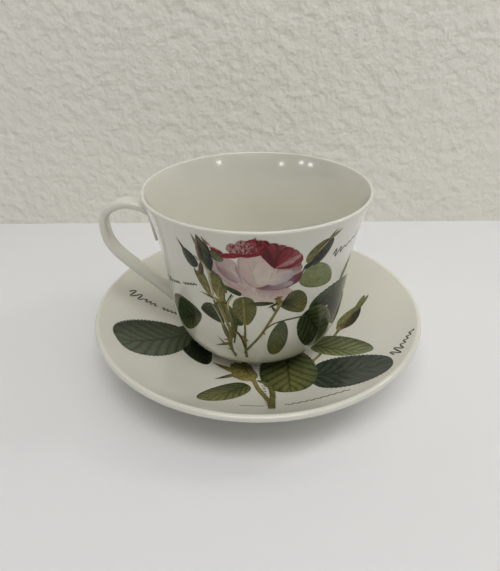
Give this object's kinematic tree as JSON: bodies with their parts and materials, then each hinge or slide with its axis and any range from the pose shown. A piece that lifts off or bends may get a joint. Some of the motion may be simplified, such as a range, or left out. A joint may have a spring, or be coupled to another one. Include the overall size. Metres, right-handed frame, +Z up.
{
  "type": "teacup and saucer",
  "caption": "Flared breakfast teacup with a looped strap handle, standing in the well of a round coupe saucer, both decorated with rose-spray transfers.",
  "frame": {"origin": "where the saucer's axis meets the table it stands on", "axes": "+Z up along the axis of the saucer and cup, the handle towards -X, the bouquet's front towards -Y"},
  "size_m": [0.175, 0.175, 0.0951],
  "materials": {
    "saucer_china": "glossy",
    "cup_china": "glossy",
    "transfer_rose": "glossy",
    "transfer_leaf": "glossy",
    "transfer_ink": "glossy"
  },
  "bodies": {
    "saucer": {"saucer": "saucer_china", "saucer_left_transfer": "transfer_leaf", "saucer_spray_transfer": "transfer_leaf", "saucer_flourish_transfer": "transfer_ink"},
    "cup": {"cup_bowl": "cup_china", "cup_handle": "cup_china", "cup_bouquet_transfer": "transfer_rose", "cup_back_transfer": "transfer_leaf", "cup_flourish_transfer": "transfer_ink"}
  },
  "joints": [
    {"name": "cup_lift", "type": "slide", "parent": "saucer", "child": "cup", "axis": [0, 0, 1], "range_m": [0, 0.08]}
  ]
}
